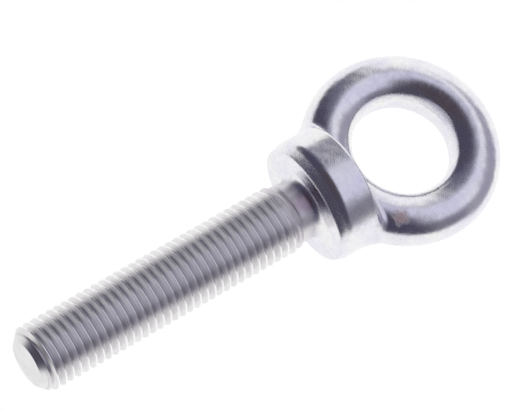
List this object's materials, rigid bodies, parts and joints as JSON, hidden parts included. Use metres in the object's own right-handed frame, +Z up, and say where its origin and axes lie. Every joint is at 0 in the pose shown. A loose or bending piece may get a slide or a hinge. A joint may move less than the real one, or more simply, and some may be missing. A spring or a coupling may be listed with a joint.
{
  "type": "eye bolt",
  "caption": "Lifting eye bolt forged in one piece: round eye ring on a collar with a flat seat, over a long right-hand metric thread with a chamfered end.",
  "frame": {"origin": "centre of the collar's machined seat face, on the bolt's axis", "axes": "+Z up the bolt's axis through the eye, away from the thread; +Y along the axis of the eye"},
  "size_m": [0.0464, 0.0296, 0.1256],
  "materials": {
    "ring_plating": "bright zinc plate with a faint violet tint over a finely ground forging",
    "collar_plating": "bright zinc plate with a faint violet tint, fine grinding marks on the wall and turning marks on the seat",
    "neck_plating": "zinc plate, slightly duller, with a faint brown-violet tint",
    "thread_plating": "zinc plate on a rolled thread, satin"
  },
  "bodies": {
    "root": {"eye_ring": "ring_plating", "collar": "collar_plating", "neck": "neck_plating", "threaded_shank": "thread_plating"}
  },
  "joints": []
}
